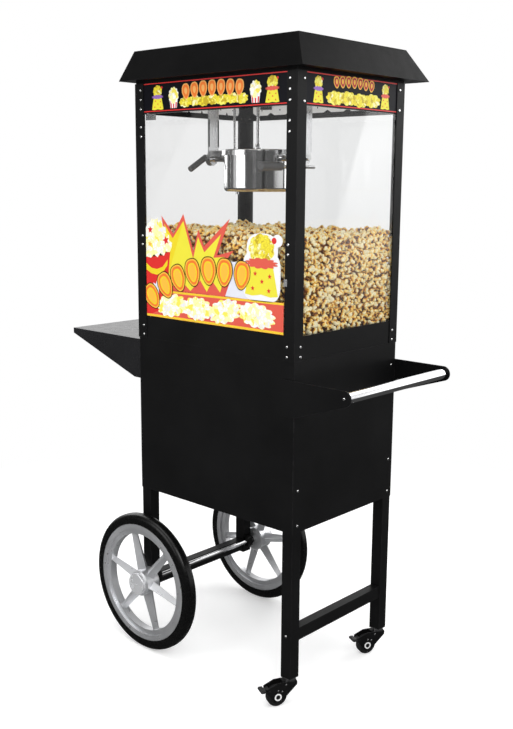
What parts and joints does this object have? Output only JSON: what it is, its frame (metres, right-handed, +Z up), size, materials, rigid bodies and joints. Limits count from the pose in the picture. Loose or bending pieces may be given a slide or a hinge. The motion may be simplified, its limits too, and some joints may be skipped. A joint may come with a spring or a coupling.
{
  "type": "popcorn machine on a cart",
  "caption": "Glass-sided popcorn machine with a tipping kettle and hipped roof on a black cart with a side shelf, push handle, large spoked wheels and swivel casters.",
  "frame": {"origin": "on the floor, in the middle of the whole footprint (shelf tip to handle grip, hub cap to hub cap)", "axes": "+X along the front from the side shelf towards the push handle, +Y from the front (kettle door) to the back, +Z up"},
  "size_m": [0.956, 0.508, 1.53],
  "materials": {
    "black_paint": "satin",
    "bright_steel": "polished",
    "chrome": "polished",
    "silver_plastic": "satin",
    "tyre": "satin",
    "caster_plastic": "gloss",
    "black_plastic": "satin",
    "brushed_steel": "satin",
    "kettle_steel": "polished",
    "grip_plastic": "matte",
    "glass": "gloss",
    "motor_grey": "satin"
  },
  "bodies": {
    "frame": {"cart_legs": "black_paint", "cart_crossbars": "black_paint", "wheel_axle": "bright_steel", "cart_front_panel": "black_paint", "cart_side_panels": "black_paint", "cart_floor": "black_paint", "cart_deck": "black_paint", "cart_door_pins": "bright_steel", "side_shelf": "black_paint", "handle_arms": "black_paint", "push_handle": "chrome", "cart_screws": "bright_steel", "caster_stems": "bright_steel", "corner_posts": "black_paint", "base_frame": "black_paint", "floor_pan": "brushed_steel", "side_panes": "glass", "rear_pane": "glass", "door_catch": "bright_steel", "front_sign": "black_paint", "side_signs": "black_paint", "control_panel": "black_paint", "power_inlet": "black_plastic", "ceiling_panel": "brushed_steel", "roof": "black_paint", "machine_screws": "bright_steel", "gear_motor": "motor_grey", "kettle_hangers": "brushed_steel", "heater_conduit": "brushed_steel", "lamp_holder": "black_plastic", "lamp_bulb": "glass"},
    "cart_door": {"cart_door": "black_paint", "cart_door_knob": "black_plastic"},
    "kernel_drawer": {"kernel_drawer": "black_paint"},
    "front_door": {"front_door": "glass", "door_pivots": "bright_steel"},
    "front_wheel": {"front_wheel": "silver_plastic", "front_tyre": "tyre", "front_hub_cap": "silver_plastic"},
    "rear_wheel": {"rear_wheel": "silver_plastic", "rear_tyre": "tyre", "rear_hub_cap": "silver_plastic"},
    "front_caster_fork": {"front_caster_fork": "black_paint"},
    "rear_caster_fork": {"rear_caster_fork": "black_paint"},
    "front_caster_wheel": {"front_caster_wheel": "caster_plastic"},
    "rear_caster_wheel": {"rear_caster_wheel": "caster_plastic"},
    "front_caster_brake": {"front_caster_brake": "black_plastic"},
    "rear_caster_brake": {"rear_caster_brake": "black_plastic"},
    "heat_switch": {"heat_switch": "black_plastic"},
    "motor_switch": {"motor_switch": "black_plastic"},
    "light_switch": {"light_switch": "black_plastic"},
    "drive_quill": {"drive_quill": "brushed_steel"},
    "drive_shaft": {"drive_shaft": "brushed_steel"},
    "kettle": {"kettle_pot": "kettle_steel", "kettle_bridge": "kettle_steel", "tilt_handle": "brushed_steel", "handle_grips": "grip_plastic"},
    "lid_front": {"lid_front": "kettle_steel"},
    "lid_rear": {"lid_rear": "kettle_steel"},
    "agitator": {"agitator": "kettle_steel"}
  },
  "joints": [
    {"name": "front_wheel_spin", "type": "hinge", "parent": "frame", "child": "front_wheel", "pos_m": [-0.1625, -0.221, 0.183], "axis": [0, 1, 0], "continuous": true},
    {"name": "rear_wheel_spin", "type": "hinge", "parent": "frame", "child": "rear_wheel", "pos_m": [-0.1625, 0.221, 0.183], "axis": [0, 1, 0], "continuous": true},
    {"name": "front_caster_swivel", "type": "hinge", "parent": "frame", "child": "front_caster_fork", "pos_m": [0.3037, -0.1787, 0.055], "axis": [0, 0, 1], "continuous": true},
    {"name": "rear_caster_swivel", "type": "hinge", "parent": "frame", "child": "rear_caster_fork", "pos_m": [0.3037, 0.1787, 0.055], "axis": [0, 0, 1], "continuous": true},
    {"name": "front_caster_roll", "type": "hinge", "parent": "front_caster_fork", "child": "front_caster_wheel", "pos_m": [0.2888, -0.20926, 0.025], "axis": [0.8988, -0.4384, 0], "continuous": true},
    {"name": "rear_caster_roll", "type": "hinge", "parent": "rear_caster_fork", "child": "rear_caster_wheel", "pos_m": [0.2888, 0.14814, 0.025], "axis": [0.8988, -0.4384, 0], "continuous": true},
    {"name": "front_caster_brake_press", "type": "hinge", "parent": "front_caster_fork", "child": "front_caster_brake", "pos_m": [0.27915, -0.22903, 0.044], "axis": [0.8988, -0.4384, 0], "range_deg": [0, 12]},
    {"name": "rear_caster_brake_press", "type": "hinge", "parent": "rear_caster_fork", "child": "rear_caster_brake", "pos_m": [0.27915, 0.12837, 0.044], "axis": [0.8988, -0.4384, 0], "range_deg": [0, 12]},
    {"name": "cart_door_swing", "type": "hinge", "parent": "frame", "child": "cart_door", "pos_m": [-0.156, 0.187, 0.63], "axis": [0, 0, 1], "range_deg": [0, 110]},
    {"name": "drawer_slide", "type": "slide", "parent": "frame", "child": "kernel_drawer", "axis": [0, 1, 0], "range_m": [0, 0.25]},
    {"name": "front_door_swing", "type": "hinge", "parent": "frame", "child": "front_door", "pos_m": [-0.161, -0.1895, 1.134], "axis": [0, 0, -1], "range_deg": [0, 95]},
    {"name": "heat_switch_rock", "type": "hinge", "parent": "frame", "child": "heat_switch", "pos_m": [0.24, 0.195, 1.42], "axis": [1, 0, 0], "range_deg": [0, 14]},
    {"name": "motor_switch_rock", "type": "hinge", "parent": "frame", "child": "motor_switch", "pos_m": [0.205, 0.195, 1.42], "axis": [1, 0, 0], "range_deg": [0, 14]},
    {"name": "light_switch_rock", "type": "hinge", "parent": "frame", "child": "light_switch", "pos_m": [0.17, 0.195, 1.42], "axis": [1, 0, 0], "range_deg": [0, 14]},
    {"name": "drive_spin", "type": "hinge", "parent": "frame", "child": "drive_quill", "pos_m": [0.06, -0.036, 1.45], "axis": [0, 0, 1], "continuous": true},
    {"name": "shaft_lift", "type": "slide", "parent": "drive_quill", "child": "drive_shaft", "axis": [0, 0, 1], "range_m": [0, 0.0915]},
    {"name": "kettle_tilt", "type": "hinge", "parent": "frame", "child": "kettle", "pos_m": [0.06, -0.036, 1.276], "axis": [1, 0, 0], "range_deg": [0, 95]},
    {"name": "lid_front_flap", "type": "hinge", "parent": "kettle", "child": "lid_front", "pos_m": [0.06, -0.046, 1.2955], "axis": [-1, 0, 0], "range_deg": [0, 60]},
    {"name": "lid_rear_flap", "type": "hinge", "parent": "kettle", "child": "lid_rear", "pos_m": [0.06, -0.026, 1.2955], "axis": [1, 0, 0], "range_deg": [0, 60]},
    {"name": "agitator_spin", "type": "hinge", "parent": "kettle", "child": "agitator", "pos_m": [0.06, -0.036, 1.25], "axis": [0, 0, 1], "continuous": true}
  ],
  "couplings": [
    {"joint": "shaft_lift", "follows": "kettle_tilt", "m_per_rad": 0.055},
    {"joint": "agitator_spin", "follows": "drive_spin", "ratio": 1}
  ]
}
